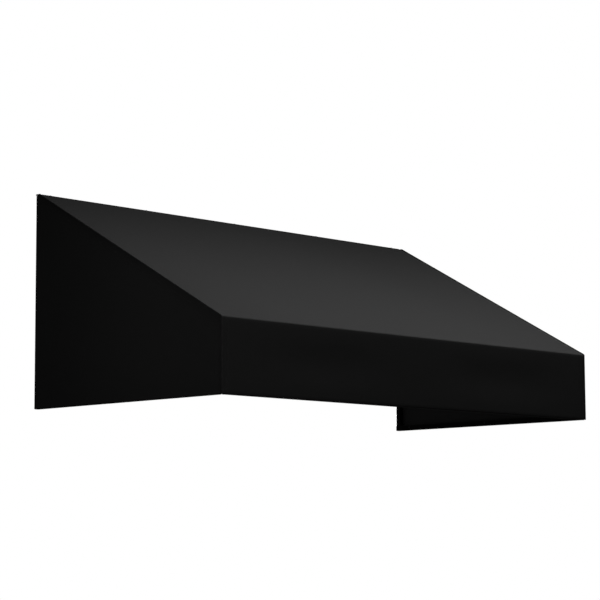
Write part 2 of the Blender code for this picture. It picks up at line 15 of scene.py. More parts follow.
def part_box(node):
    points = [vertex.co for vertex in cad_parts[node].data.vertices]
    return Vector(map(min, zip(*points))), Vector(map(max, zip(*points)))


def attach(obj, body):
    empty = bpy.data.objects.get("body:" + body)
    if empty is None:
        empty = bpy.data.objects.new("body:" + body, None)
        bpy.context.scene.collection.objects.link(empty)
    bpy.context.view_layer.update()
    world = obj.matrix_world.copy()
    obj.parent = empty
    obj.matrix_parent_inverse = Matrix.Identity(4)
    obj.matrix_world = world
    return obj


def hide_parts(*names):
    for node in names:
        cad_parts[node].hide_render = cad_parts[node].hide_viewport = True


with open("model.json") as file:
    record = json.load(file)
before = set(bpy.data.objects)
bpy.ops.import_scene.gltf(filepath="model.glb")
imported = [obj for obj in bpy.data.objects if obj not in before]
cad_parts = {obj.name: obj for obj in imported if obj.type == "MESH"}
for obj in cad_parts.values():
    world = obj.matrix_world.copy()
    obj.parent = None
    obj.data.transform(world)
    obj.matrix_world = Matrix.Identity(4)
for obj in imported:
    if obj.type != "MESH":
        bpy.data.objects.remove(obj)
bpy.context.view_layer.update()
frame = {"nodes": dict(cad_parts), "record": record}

nodes = frame["nodes"]

# Sizes taken from the frame
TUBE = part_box("header_tube")[1][2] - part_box("header_tube")[0][2]
FRAME_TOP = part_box("header_tube")[1][2]
FRAME_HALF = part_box("header_plug_right")[1][0]
FRAME_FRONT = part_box("front_bottom_bar")[0][1]
FRAME_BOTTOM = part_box("front_bottom_bar")[0][2]
FRONT_BAR_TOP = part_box("front_top_bar")[1][2]
COVER_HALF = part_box("cover_wing_right")[1][0]
PANEL_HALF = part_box("cover_top")[1][0]
WALL_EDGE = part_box("cover_top")[1][1]

SKIN = COVER_HALF - FRAME_HALF  # from the frame to the cover's outer face
PANEL_INSET = COVER_HALF - PANEL_HALF

# Sizes of the cover that its source gives
CLOTH = 0.001
FRONT_BAR_DROP = 0.003
HEADER_BEND_RADIUS = 0.008
FOLD_RADIUS = 0.005
HEM_RADIUS = 0.0025
HEM_FLAP = 0.017
HEM_CORNER_CLEARANCE = 0.0015
SLOPE_SAG = 0.005
FRONT_DISH = 0.0015
WING_DISH = 0.003
BARE_BESIDE_TUBE = 0.006
WELT_RADIUS = 0.0022
WELT_PROUD = 0.0006

# The cloth, finer than the frame shows it
CANVAS = 0.0007
YARN = 0.0006
RIPPLE = 0.0007
ALLOWANCE = 0.024  # width of the doubled cloth beside a seam
ALLOWANCE_STEP = 0.0003
ALLOWANCE_FADE = 0.003  # over which that step runs out
SEAM_LINES = (0.0055, 0.0195)  # stitch rows, from a panel's edge
NEEDLE_DIP = 0.00015
NEEDLE_DIP_WIDTH = 0.0009

# The cloth's grid
GRID = 0.0088
WING_GRID = 0.007
BEND_GRID = 0.0013
SEAM_GRID = (0, 0.0018, 0.0034, 0.0092, 0.0135)  # beside the stitch rows, from a panel's edge
CLOSEST_COLUMNS = 0.0004
TOLERANCE = 0.00001

# The welt and the thread
WELT_GRID = 0.012
WELT_SIDES = 14
WELT_UNEVENNESS = 0.025
THREAD_RADIUS = 0.00028
THREAD_SIDES = 5
STITCH_PITCH = 0.0034
STITCH_LENGTH = 0.0027
STITCH_PROFILE = ((0.0, 0.5), (0.2, 0.9), (0.5, 1.0), (0.8, 0.9), (1.0, 0.5))  # (share of length, thickness)
STITCHES_START = 0.02  # from the wall, on the cover

# The weld beads
BEAD_RADIUS = 0.0021
BEAD_OFFSET = 0.0012  # from the joint's corner to the bead's middle, off each face
BEAD_LENGTH = TUBE - 0.005
BEAD_RIPPLE = 0.00016
BEAD_RIPPLE_PITCH = 0.0021
BEAD_BOW = 0.0006  # how far each ripple bows along the bead at its crown
BEAD_WANDER = 0.0002
BEAD_RINGS = 28
BEAD_SIDES = 12

# The pan-head screws
HEAD_RADIUS = 0.0036
HEAD_HEIGHT = 0.0016
HEAD_DOME = 0.42  # share of the height that the head loses towards its rim
HEAD_RIM = 0.0001
HEAD_RINGS = 12
RECESS_ARM = 0.00045  # half the width of each arm of the cross
RECESS_REACH = 0.0021
RECESS_RUN_OUT = 0.0004  # length of the slope at each arm's end
RECESS_DEPTH = 0.0009
RECESS_MIDDLE_DEPTH = 0.001
SHANK_RADIUS = 0.0021
SHANK_LENGTH = 0.009
POINT_LENGTH = 0.003
POINT_RADIUS = 0.0004
SCREW_SIDES = 32

# The studio
FLOOR_RADIUS = 20
FLOOR_LEVEL = -8.4
WORLD_LIGHT = 0.068
LIGHTS = [
    # name, place, target, size, spread in degrees, power in watts
    ("over_the_front", (0.35, -1.0, 1.5), (0.35, -1.0, 0.0), (3.2, 0.5), 84, 13.8),
    ("over_the_right", (0.9, -1.0, 1.5), (0.9, -1.0, 0.0), (3.0, 0.5), 180, 14.0),
    ("by_the_left_corner", (-1.3, -1.9, -0.5), (-0.9, -0.9, -0.55), (0.5, 0.5), 180, 1.3),
    ("beside_the_left_wing", (-1.5, -0.65, -0.35), (-0.9, -0.6, -0.4), (0.4, 0.4), 180, 0.33),
    ("from_the_wall_side", (2.6, 2.6, -0.35), (-0.2, -0.4, -0.35), (1.0, 0.5), 180, 140.0),
]

# The photo's view, found from the edges of the awning in it
CAMERA_PLACE = (-5.2764, -5.4681, -1.1986)
CAMERA_YAW = radians(45.836)
CAMERA_PITCH = radians(6.992)
CAMERA_ROLL = radians(-0.260)
CAMERA_LENS = 125.609  # millimetres, as is the sensor's width
CAMERA_SENSOR = 36

FOLD_Z = FRONT_BAR_TOP + FRONT_BAR_DROP
SLOPE = atan2(FRAME_TOP - FOLD_Z, -TUBE - FRAME_FRONT)
FLAP_HALF = FRAME_HALF - TUBE - HEM_CORNER_CLEARANCE
HEM_NOTCH = FRAME_FRONT + TUBE + HEM_CORNER_CLEARANCE
SIDES = {"left": -1, "right": 1}

# The frame's outline in (y, z): from the wall over the header, down the slope and the front, and round the
# lower bar to the hem's end
CORNERS = [
    Vector((WALL_EDGE, FRAME_TOP)),
    Vector((-TUBE, FRAME_TOP)),
    Vector((FRAME_FRONT, FOLD_Z)),
    Vector((FRAME_FRONT, FRAME_BOTTOM)),
    Vector((FRAME_FRONT + TUBE, FRAME_BOTTOM)),
    Vector((FRAME_FRONT + TUBE, FRAME_BOTTOM + HEM_FLAP)),
]
SLOPE_RUN = 1
FRONT_RUN = 2
UNDER_RUN = 3

# A row of cloth across an outline. A run is a straight stretch of the outline, share is how far along its run
# the row lies, from 0 to 1, and distance is how far it lies from the outline's start, along the outline.
Row = namedtuple("Row", "point normal run share distance")


class Shader:
    """The nodes of one material, with short calls for those used here."""

    def __init__(self, name):
        self.material = bpy.data.materials.new(name)
        self.material.use_nodes = True
        self.tree = self.material.node_tree
        self.surface = self.tree.nodes["Principled BSDF"]

    def node(self, kind, inputs=None, **settings):
        """A new node with its settings, and with its inputs fed by name."""
        made = self.tree.nodes.new(kind)
        for name, value in settings.items():
            setattr(made, name, value)
        for name, value in (inputs or {}).items():
            self.feed(made.inputs[name], value)
        return made

    def feed(self, socket, value):
        """Links another node's output to the socket, or sets the socket to a plain value."""
        if isinstance(value, bpy.types.NodeSocket):
            self.tree.links.new(value, socket)
        else:
            socket.default_value = value

    def set(self, **inputs):
        """Feeds the surface's inputs, named with _ for each space."""
        for name, value in inputs.items():
            self.feed(self.surface.inputs[name.replace("_", " ")], value)

    def math(self, operation, *values):
        made = self.node("ShaderNodeMath", operation=operation)
        for socket, value in zip(made.inputs, values):
            self.feed(socket, value)
        return made.outputs[0]

    def noise(self, vector, scale, detail=3.0):
        made = self.node("ShaderNodeTexNoise", {"Vector": vector, "Scale": scale, "Detail": detail})
        return made.outputs["Fac"]

    def spread(self, value, low, high):
        """value, which lies from 0 to 1, spread from low to high."""
        made = self.node("ShaderNodeMapRange", {"Value": value, "To Min": low, "To Max": high})
        return made.outputs[0]

    def scaled(self, colour, factor):
        """A plain colour times a value."""
        made = self.node("ShaderNodeVectorMath", operation="SCALE")
        made.inputs[0].default_value = colour
        self.feed(made.inputs["Scale"], factor)
        return made.outputs[0]

    def bump(self, height, distance, strength):
        made = self.node("ShaderNodeBump", {"Height": height, "Distance": distance, "Strength": strength})
        return made.outputs[0]

    def place(self, name="Object"):
        return self.node("ShaderNodeTexCoord").outputs[name]


def canvas_material(name, colour, coat):
    """Woven canvas: a plain weave with slubs, and a little dust that lies unevenly.

    coat says how far a coating fills the weave, from 0 to 1.
    """
    shader = Shader(name)
    flat = shader.place("UV")
    parts = shader.node("ShaderNodeSeparateXYZ", {"Vector": flat})
    across = shader.math("SINE", shader.math("MULTIPLY", parts.outputs["X"], pi / YARN))
    along = shader.math("SINE", shader.math("MULTIPLY", parts.outputs["Y"], pi / YARN))
    warp_on_top = shader.math("GREATER_THAN", shader.math("MULTIPLY", across, along), 0.0)
    a = shader.math("ABSOLUTE", across)
    b = shader.math("ABSOLUTE", along)
    warp = shader.math("MULTIPLY", a, shader.math("SQRT", b))
    weft = shader.math("MULTIPLY", shader.math("SQRT", a), b)
    rise = shader.math("MULTIPLY", warp_on_top, shader.math("SUBTRACT", warp, weft))
    weave = shader.math("ADD", weft, rise)
    slub = shader.noise(flat, 420.0)
    dust = shader.noise(flat, 5.0, 5.0)
    tone = shader.math("MULTIPLY", shader.spread(weave, 0.78, 1.12), shader.spread(dust, 0.86, 1.14))
    tone = shader.math("MULTIPLY", tone, shader.spread(slub, 0.9, 1.1))
    shader.set(
        Base_Color=shader.scaled(colour, tone),
        Roughness=shader.spread(dust, 0.86, 0.94),
        Specular_IOR_Level=0.22,
        Sheen_Weight=0.06,
        Sheen_Roughness=0.5,
        Normal=shader.bump(shader.math("ADD", weave, slub), 0.00012, 0.35 * (1 - coat)),
    )
    return shader.material


def welt_material():
    """The same cloth over a cord, a little rubbed along its crown."""
    shader = Shader("welt_black")
    place = shader.place()
    yarn = shader.noise(place, 900.0)
    rub = shader.noise(place, 14.0, 4.0)
    shader.set(
        Base_Color=shader.scaled((0.015, 0.015, 0.0155), shader.spread(rub, 0.8, 1.25)),
        Roughness=shader.spread(rub, 0.78, 0.9),
        Specular_IOR_Level=0.22,
        Sheen_Weight=0.08,
        Normal=shader.bump(yarn, 0.0001, 0.5),
    )
    return shader.material


def thread_material():
    """Waxed polyester thread."""
    shader = Shader("thread_black")
    place = shader.place()
    twist = shader.node("ShaderNodeTexWave", {"Vector": place, "Scale": 900.0, "Distortion": 1.5})
    tone = shader.noise(place, 30.0)
    shader.set(
        Base_Color=shader.scaled((0.02, 0.02, 0.021), shader.spread(tone, 0.8, 1.3)),
        Roughness=0.55,
        Specular_IOR_Level=0.35,
        Normal=shader.bump(twist.outputs["Fac"], 0.00008, 0.5),
    )
    return shader.material


def coat_material(name, colour, roughness, grain, specular=0.25):
    """A powder coat: fine orange peel, a little dust, and a gloss that isn't quite even."""
    shader = Shader(name)
    place = shader.place()
    peel = shader.noise(place, grain, 2.0)
    haze = shader.noise(place, 9.0, 5.0)
    speck = shader.node("ShaderNodeTexVoronoi", {"Vector": place, "Scale": 260.0}).outputs["Distance"]
    fleck = shader.math("LESS_THAN", speck, 0.07)
    tone = shader.math("ADD", shader.spread(haze, 0.85, 1.2), shader.math("MULTIPLY", fleck, 0.6))
    shader.set(
        Base_Color=shader.scaled(colour, tone),
        Roughness=shader.spread(haze, roughness - 0.05, roughness + 0.08),
        Specular_IOR_Level=specular,
        Normal=shader.bump(peel, 0.0001, 0.5),
    )
    return shader.material


def plug_material():
    """Moulded black plastic with a fine spark texture."""
    shader = Shader("plug_black")
    place = shader.place()
    spark = shader.noise(place, 2400.0, 2.0)
    tone = shader.noise(place, 40.0)
    shader.set(
        Base_Color=shader.scaled((0.013, 0.013, 0.013), shader.spread(tone, 0.9, 1.15)),
        Roughness=0.55,
        Specular_IOR_Level=0.35,
        Normal=shader.bump(spark, 0.00006, 0.6),
    )
    return shader.material


def screw_material():
    """Blackened zinc, rubbed lighter in places."""
    shader = Shader("screw_black_zinc")
    rub = shader.noise(shader.place(), 350.0, 4.0)
    shader.set(
        Base_Color=shader.scaled((0.075, 0.075, 0.08), shader.spread(rub, 0.5, 1.6)),
        Metallic=0.9,
        Roughness=shader.spread(rub, 0.36, 0.55),
        Normal=shader.bump(rub, 0.00005, 0.4),
    )
    return shader.material


canvas = canvas_material("canvas_black", (0.0165, 0.0165, 0.0165), 0)
canvas_reverse_painted_light = canvas_material("canvas_reverse_painted_light", (0.07, 0.07, 0.07), 0.5)  # the coated side, greyer than the cloth: painted light that brightens the shaded inside of the awning
welt_cloth = welt_material()
thread = thread_material()
frame_coat = coat_material("frame_coat", (0.005, 0.005, 0.005), 0.45, 700.0)
bracket_coat = coat_material("bracket_coat", (0.006, 0.006, 0.006), 0.42, 900.0)
strip_coat = coat_material("strip_coat", (0.003, 0.003, 0.003), 0.5, 1500.0, 0.12)
plug_plastic = plug_material()
screw_metal = screw_material()


def finish_mesh(shape, name):
    """The shape as a mesh shaded smooth."""
    mesh = bpy.data.meshes.new(name)
    shape.to_mesh(mesh)
    shape.free()
    mesh.shade_smooth()
    return mesh


def closed_mesh(shape, name):
    """The mesh of a shape made of closed forms, each with its faces turned outwards."""
    bmesh.ops.recalc_face_normals(shape, faces=shape.faces)
    return finish_mesh(shape, name)


def add_piece(name, mesh, material):
    """A shown piece of the awning, which rides on the one body."""
    obj = bpy.data.objects.new(name, mesh)
    mesh.materials.append(material)
    bpy.context.scene.collection.objects.link(obj)
    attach(obj, "root")
    return obj


def circle(centre, first, second, radius, sides):
    """Points round centre, starting in the direction first and turning towards the direction second."""
    turns = [2 * pi * i / sides for i in range(sides)]
    return [centre + radius * (cos(turn) * first + sin(turn) * second) for turn in turns]


def add_tube(shape, circles):
    """A tube through circles of points, with a flat cap at each end."""
    rings = [[shape.verts.new(point) for point in points] for points in circles]
    for ring, next_ring in zip(rings, rings[1:]):
        for i in range(len(ring)):
            shape.faces.new((ring[i - 1], ring[i], next_ring[i], next_ring[i - 1]))
    shape.faces.new(rings[0])
    shape.faces.new(reversed(rings[-1]))


def clamped(value, low, high):
    """How far value lies from low to high, as a share from 0 to 1."""
    return min(max((value - low) / (high - low), 0), 1)


def ease(value, low, high):
    """0 below low and 1 above high, with a smooth rise between them."""
    share = clamped(value, low, high)
    return share * share * (3 - 2 * share)


def swell(value, low, high):
    """0 outside low to high, rising smoothly to 1 midway between them."""
    return sin(pi * clamped(value, low, high)) ** 2


def bay_share(x):
    """0 on the tubes and 1 midway between the middle tube and a side tube."""
    return swell(abs(x), TUBE / 2 + BARE_BESIDE_TUBE, FRAME_HALF - TUBE - BARE_BESIDE_TUBE)


def widened(share):
    """A share that is 0 on the tubes, raised so that it reaches 1 a short way from them."""
    return min(1, 2.5 * share)


def ripple(u, v, seed):
    """A slow, shallow unevenness of stretched cloth, about -1 to 1. u and v are metres over the cloth."""
    broad = noise.noise(Vector((u * 3.1, v * 2.3, seed)))
    fine = noise.noise(Vector((u * 9.0, v * 6.0, seed + 7.3)))
    return broad + 0.3 * fine


def seam_relief(from_edge):
    """How far the cloth lies under its usual face, from_edge away from a sewn edge."""
    depth = ALLOWANCE_STEP * ease(from_edge, ALLOWANCE, ALLOWANCE + ALLOWANCE_FADE)
    for line in SEAM_LINES:
        depth += NEEDLE_DIP * exp(-(((from_edge - line) / NEEDLE_DIP_WIDTH) ** 2))
    return depth


def edge_steps():
    """Distances from a sewn edge that follow its stitch rows and the doubled cloth beside it."""
    steps = list(SEAM_GRID)
    for line in SEAM_LINES:
        steps += [line - NEEDLE_DIP_WIDTH, line, line + NEEDLE_DIP_WIDTH]
    steps += [ALLOWANCE + share * ALLOWANCE_FADE for share in (0, 0.5, 1, 2)]
    return sorted(steps)


def outward(start, end):
    """The outward normal of a stretch of outline, which is to the right of its direction seen from +X."""
    along = (end - start).normalized()
    return Vector((along.y, -along.x))


def offset_outline(points, distance):
    """An open outline in (y, z) moved outwards."""
    normals = [outward(start, end) for start, end in zip(points, points[1:])]
    moved = []
    for i, point in enumerate(points):
        first = normals[max(i - 1, 0)]
        second = normals[min(i, len(normals) - 1)]
        moved.append(point + (first + second) / (1 + first.dot(second)) * distance)
    return moved


def rounded_rows(corners, radii, spacing):
    """Rows along an open outline with rounded corners.

    A row on a bend has the share 1 of the run before it.
    """
    bends = []
    for before, corner, after, radius in zip(corners, corners[1:], corners[2:], radii):
        back = (before - corner).normalized()
        on = (after - corner).normalized()
        half = back.angle(on) / 2
        centre = corner + (back + on).normalized() * radius / sin(half)
        reach = radius / tan(half)
        bends.append((corner + back * reach, centre, corner + on * reach, radius))
    starts = [corners[0]] + [bend[2] for bend in bends]
    ends = [bend[0] for bend in bends] + [corners[-1]]
    rows = []

    def add_row(point, normal, run, share):
        distance = rows[-1].distance + (point - rows[-1].point).length if rows else 0
        rows.append(Row(point, normal, run, share, distance))

    for run, (start, end) in enumerate(zip(starts, ends)):
        steps = max(2, ceil((end - start).length / spacing))
        for step in range(steps + 1):
            add_row(start.lerp(end, step / steps), outward(start, end), run, step / steps)
        if run < len(bends):
            begin, centre, finish, radius = bends[run]
            turn = (begin - centre).angle(finish - centre)
            steps = max(4, ceil(turn * radius / BEND_GRID))
            for step in range(1, steps):
                normal = (begin - centre).slerp(finish - centre, step / steps).normalized()
                add_row(centre + normal * radius, normal, run, 1)
    return rows


def seam_rows(distance, growth, spacing):
    """Rows along a side's seam, from the wall to the hem.

    They lie distance outside the frame's outline, and growth is added to the radius of each bend.
    """
    radii = [HEADER_BEND_RADIUS + growth, FOLD_RADIUS + growth]
    return rounded_rows(offset_outline(CORNERS[:4], distance), radii, spacing)


def cloth_sheet(name, columns, rows, place, flat_place, keep, turn_over=False):
    """A sheet of canvas on a grid of columns and rows.

    place gives where a grid point lies, and flat_place its flat metres, which become its UV. keep says which
    cells there are, and turn_over turns their faces round.
    """
    shape = bmesh.new()
    flat = shape.loops.layers.uv.new("flat")
    grid = [[shape.verts.new(place(column, row)) for column in columns] for row in rows]
    for i, (row, next_row) in enumerate(zip(rows, rows[1:])):
        for j, (column, next_column) in enumerate(zip(columns, columns[1:])):
            if not keep(column, next_column, row, next_row):
                continue
            cell = [(i, j), (i + 1, j), (i + 1, j + 1), (i, j + 1)]
            if turn_over:
                cell.reverse()
            face = shape.faces.new([grid[a][b] for a, b in cell])
            for loop, (a, b) in zip(face.loops, cell):
                loop[flat].uv = flat_place(columns[b], rows[a])
    bmesh.ops.delete(shape, geom=[vertex for vertex in shape.verts if not vertex.link_faces], context="VERTS")
    obj = add_piece(name, finish_mesh(shape, name), canvas)
    # The inner faces take the reverse, whose greyer colour is painted light for the shaded inside
    obj.data.materials.append(canvas_reverse_painted_light)
    thick = obj.modifiers.new("thick", "SOLIDIFY")
    thick.thickness = CANVAS
    thick.offset = -1
    thick.material_offset = 1
    return obj


cover_outline = offset_outline(CORNERS, SKIN)
cover_radii = [HEADER_BEND_RADIUS + CLOTH, FOLD_RADIUS + CLOTH, HEM_RADIUS + CLOTH, HEM_RADIUS + CLOTH]
cover_rows = rounded_rows(cover_outline, cover_radii, GRID)


def cover_point(x, row):
    """Where the cover's outer face lies, at x on a row of its outline."""
    bay = bay_share(x)
    depth = seam_relief(PANEL_HALF - abs(x))
    if row.run == SLOPE_RUN:
        slack = sin(pi * row.share)
        depth += SLOPE_SAG * slack * bay
        depth += RIPPLE * ripple(x, row.distance, 2.0) * widened(bay) * slack
    if row.run == FRONT_RUN:
        lowest = FRAME_BOTTOM + TUBE + BARE_BESIDE_TUBE
        highest = FRONT_BAR_TOP - TUBE - BARE_BESIDE_TUBE
        hollow = swell(row.point.y, lowest, highest)
        depth += FRONT_DISH * hollow * bay
        depth += 0.4 * RIPPLE * ripple(x, row.distance, 5.0) * hollow * widened(bay)
    return Vector((x, *(row.point - row.normal * depth)))


def cover_columns():
    """Places along x: close together beside the seams and evenly spaced between them."""
    edge = [PANEL_HALF - step for step in edge_steps()] + [FLAP_HALF]
    inner = min(edge)
    count = ceil(2 * inner / GRID)
    middle = [-inner + 2 * inner * i / count for i in range(1, count)]
    return sorted(edge + [-x for x in edge] + middle)


def make_cover():
    """The slope, the front and their turned hem: one length of canvas."""
    flap_start = FRAME_FRONT + TUBE - HEM_RADIUS

    def keep(column, next_column, row, next_row):
        past_bar = max(row.point.x, next_row.point.x) > flap_start
        on_flap = past_bar and min(row.run, next_row.run) >= UNDER_RUN
        return not on_flap or max(abs(column), abs(next_column)) < FLAP_HALF + TOLERANCE

    def flat_place(column, row):
        return column, row.distance

    cover = cloth_sheet("canvas_top", cover_columns(), cover_rows, cover_point, flat_place, keep)
    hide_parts("cover_top")
    return cover


def wing_columns():
    """Places along y from the wall to the front, each with the height of the wing's sewn edge there."""
    rows = seam_rows(SKIN - PANEL_INSET, 0, WING_GRID)
    on_front = [row for row in rows if row.run == FRONT_RUN]
    edge = [row.point for row in rows if row.run != FRONT_RUN] + [on_front[0].point]
    front = edge[-1].x
    columns = [(point.x, point.y) for point in edge]
    for y in [front + step for step in edge_steps()] + [HEM_NOTCH]:
        if min(abs(y - column[0]) for column in columns) < CLOSEST_COLUMNS:
            continue
        before, after = next((a, b) for a, b in zip(edge, edge[1:]) if b.x < y <= a.x)
        share = (y - before.x) / (after.x - before.x)
        columns.append((y, before.y + (after.y - before.y) * share))
    return sorted(columns, reverse=True)


def wing_rows():
    """Rows down a wing, where a point's x is how far out the cloth lies.

    On the run down to the hem, distance is how far a row keeps from the sewn edge, and share is how far it
    lies from there to the hem. Further on, distance is counted from the start of the hem.
    """
    edge = [
        Vector((-FRAME_HALF, FRAME_TOP)),
        Vector((-FRAME_HALF, FRAME_BOTTOM)),
        Vector((-FRAME_HALF + TUBE, FRAME_BOTTOM)),
        Vector((-FRAME_HALF + TUBE, FRAME_BOTTOM + HEM_FLAP)),
    ]
    radius = HEM_RADIUS + CLOTH
    rows = rounded_rows(offset_outline(edge, SKIN), [radius, radius], WING_GRID)
    start = next(row for row in rows if row.run == 0 and row.share == 1)
    steps = edge_steps()
    sewn = [Row(start.point, start.normal, 0, 0, step) for step in steps]
    count = ceil(start.distance / WING_GRID)
    plain = [Row(start.point, start.normal, 0, i / count, steps[-1]) for i in range(1, count + 1)]
    past_start = [row for row in rows if row.distance > start.distance]
    hem = [row._replace(distance=row.distance - start.distance) for row in past_start]
    return sewn + plain + hem


def make_wing(side, sign):
    """A side panel and its hem, which turns under the bottom rail and up its inner face."""
    rows = wing_rows()
    hem_z = next(row.point.y for row in rows if row.run == 0 and row.share == 1)
    front = FRAME_FRONT - SKIN + PANEL_INSET

    def height(column, row):
        edge_z = column[1] - row.distance / cos(SLOPE)
        return edge_z + (hem_z - edge_z) * row.share

    def place(column, row):
        y, top_z = column
        x, z = row.point
        if row.run == 0 and row.share < 1:
            z = height(column, row)
            along = swell(y, FRAME_FRONT + TUBE, -TUBE)
            under_rafter = top_z - TUBE / cos(SLOPE)
            up = swell(z, FRAME_BOTTOM + TUBE + BARE_BESIDE_TUBE, under_rafter - BARE_BESIDE_TUBE)
            from_edge = min((top_z - z) * cos(SLOPE), y - front)
            x += WING_DISH * along * up
            x += RIPPLE * ripple(y, z, 11.0 * sign) * widened(along) * widened(up)
            x += seam_relief(max(from_edge, 0))
        return Vector((-sign * x, y, z))

    def keep(column, next_column, row, next_row):
        on_hem = max(row.run, next_row.run) > 0
        return not on_hem or min(column[0], next_column[0]) > HEM_NOTCH - TOLERANCE

    def flat_place(column, row):
        on_hem = row.run > 0 or row.point.y < hem_z
        return column[0], row.distance - hem_z if on_hem else -height(column, row)

    wing = cloth_sheet(f"canvas_wing_{side}", wing_columns(), rows, place, flat_place, keep, sign > 0)
    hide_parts(f"cover_wing_{side}")
    return wing


def make_welt(side, sign):
    """The corded seam along the slope's edge and down the front corner."""
    shape = bmesh.new()
    circles = []
    for row in seam_rows(SKIN + WELT_PROUD, CLOTH, WELT_GRID):
        centre = Vector((sign * (COVER_HALF + WELT_PROUD), *row.point))
        out = Vector((0, *row.normal))
        radius = WELT_RADIUS * (1 + WELT_UNEVENNESS * noise.noise(Vector((row.distance * 55, sign, 0))))
        circles.append(circle(centre, out, Vector((1, 0, 0)), radius, WELT_SIDES))
    add_tube(shape, circles)
    name = f"cord_welt_{side}"
    welt = add_piece(name, closed_mesh(shape, name), welt_cloth)
    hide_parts(f"welt_{side}")


def add_stitch(shape, start, end, out):
    """One stitch of thread that rises out of the cloth at start and dips into it at end."""
    across = (end - start).normalized().cross(out)
    circles = []
    for share, thickness in STITCH_PROFILE:
        arch = 1 - (2 * share - 1) ** 2
        centre = start.lerp(end, share) + out * THREAD_RADIUS * (1.5 * arch - 0.9)
        circles.append(circle(centre, out, across, THREAD_RADIUS * thickness, THREAD_SIDES))
    add_tube(shape, circles)


def add_stitch_row(shape, points, normals):
    """Stitches at an even pitch along a line of points on the cloth."""
    lengths = [0]
    for a, b in zip(points, points[1:]):
        lengths.append(lengths[-1] + (b - a).length)

    def at(distance):
        i = next((k for k in range(1, len(lengths) - 1) if lengths[k] >= distance), len(lengths) - 1)
        share = (distance - lengths[i - 1]) / (lengths[i] - lengths[i - 1])
        return points[i - 1].lerp(points[i], share), normals[i - 1].lerp(normals[i], share).normalized()

    count = int(lengths[-1] / STITCH_PITCH)
    for k in range(count):
        start, out = at(k * STITCH_PITCH)
        end, _ = at(k * STITCH_PITCH + STITCH_LENGTH)
        add_stitch(shape, start, end, out)


def make_stitches(side, sign):
    """The two rows of thread beside the welt, on the cover and on the wing."""
    shape = bmesh.new()
    cover_side = [row for row in cover_rows if row.run <= FRONT_RUN and row.distance > STITCHES_START]
    for line in SEAM_LINES:
        points = [cover_point(sign * (PANEL_HALF - line), row) for row in cover_side]
        normals = [Vector((0, *row.normal)) for row in cover_side]
        add_stitch_row(shape, points, normals)
        along_wing = seam_rows(SKIN - PANEL_INSET - line, 0, GRID)
        wing_side = [row for row in along_wing if row.point.x < -TUBE / 2]
        points = [Vector((sign * (COVER_HALF - NEEDLE_DIP), *row.point)) for row in wing_side]
        normals = [Vector((sign, 0, 0))] * len(points)
        add_stitch_row(shape, points, normals)
    name = f"seam_stitches_{side}"
    add_piece(name, closed_mesh(shape, name), thread)


def inner_faces(x):
    """The directions in which an upright tube at x has a face inside the awning."""
    if x == 0:
        return [Vector((1, 0, 0)), Vector((-1, 0, 0))]
    return [Vector((-1 if x > 0 else 1, 0, 0))]


def weld_joints():
    """The frame's fillet welds.

    Each is the middle of the line where two tubes meet, and two directions: off the joint and off the face.
    """
    up = Vector((0, 0, 1))
    front = Vector((0, -1, 0))
    side_x = FRAME_HALF - TUBE / 2
    front_y = FRAME_FRONT + TUBE / 2
    under_rafter = FRAME_TOP - (-FRAME_FRONT - 2 * TUBE) * tan(SLOPE) - TUBE / cos(SLOPE)
    joints = []
    for x in (-side_x, 0, side_x):
        for face in inner_faces(x):
            beside = Vector((x, 0, 0)) + face * TUBE / 2
            joints.append((beside + Vector((0, front_y, FRAME_BOTTOM + TUBE)), up, face))
            joints.append((beside + Vector((0, front_y, FRONT_BAR_TOP - TUBE)), -up, face))
            joints.append((beside + Vector((0, -TUBE, FRAME_TOP - TUBE / 2)), front, face))
            if x != 0:
                joints.append((beside + Vector((0, -TUBE / 2, FRAME_TOP - TUBE)), -up, face))
                joints.append((Vector((x, -TUBE, FRAME_BOTTOM + TUBE)), front, up))
        joints.append((Vector((x, FRAME_FRONT + TUBE, under_rafter)), -front, -up))
    return joints


def add_bead(shape, number, middle, off_joint, off_face):
    """One rippled bead, in the corner that off_joint and off_face lead out of."""
    across = off_joint.cross(off_face)
    crown = (off_joint + off_face).normalized()
    circles = []
    for step in range(BEAD_RINGS + 1):
        share = step / BEAD_RINGS
        swelling = BEAD_RIPPLE * abs(sin(pi * share * BEAD_LENGTH / BEAD_RIPPLE_PITCH + number))
        taper = min(1, 0.35 + 3.5 * min(share, 1 - share)) ** 0.5
        wander = BEAD_WANDER * noise.noise(Vector((number * 3.7, share * 4, 0)))
        off_corner = (off_joint + off_face) * (BEAD_OFFSET + wander)
        centre = middle + off_corner + across * BEAD_LENGTH * (share - 0.5)
        points = circle(centre, off_joint, off_face, (BEAD_RADIUS + swelling) * taper, BEAD_SIDES)
        bows = [BEAD_BOW * (point - centre).normalized().dot(crown) for point in points]
        circles.append([point + bow * across for point, bow in zip(points, bows)])
    add_tube(shape, circles)


def make_weld_beads():
    """Rippled beads over the plain fillets of the frame, coated with it."""
    shape = bmesh.new()
    for number, joint in enumerate(weld_joints(), 1):
        add_bead(shape, number, *joint)
    add_piece("weld_beads", closed_mesh(shape, "weld_beads"), frame_coat)


def head_height(x, y):
    """How high a pan head reaches at x and y, with its cross recess."""
    from_axis = hypot(x, y)
    dome = HEAD_HEIGHT * (1 - HEAD_DOME * (from_axis / HEAD_RADIUS) ** 2.6)
    in_arm = max(0, 1 - min(abs(x), abs(y)) / RECESS_ARM)
    in_reach = ease(RECESS_REACH - from_axis, 0, RECESS_RUN_OUT)
    return dome - RECESS_DEPTH * min(1, 2.2 * in_arm * in_reach)


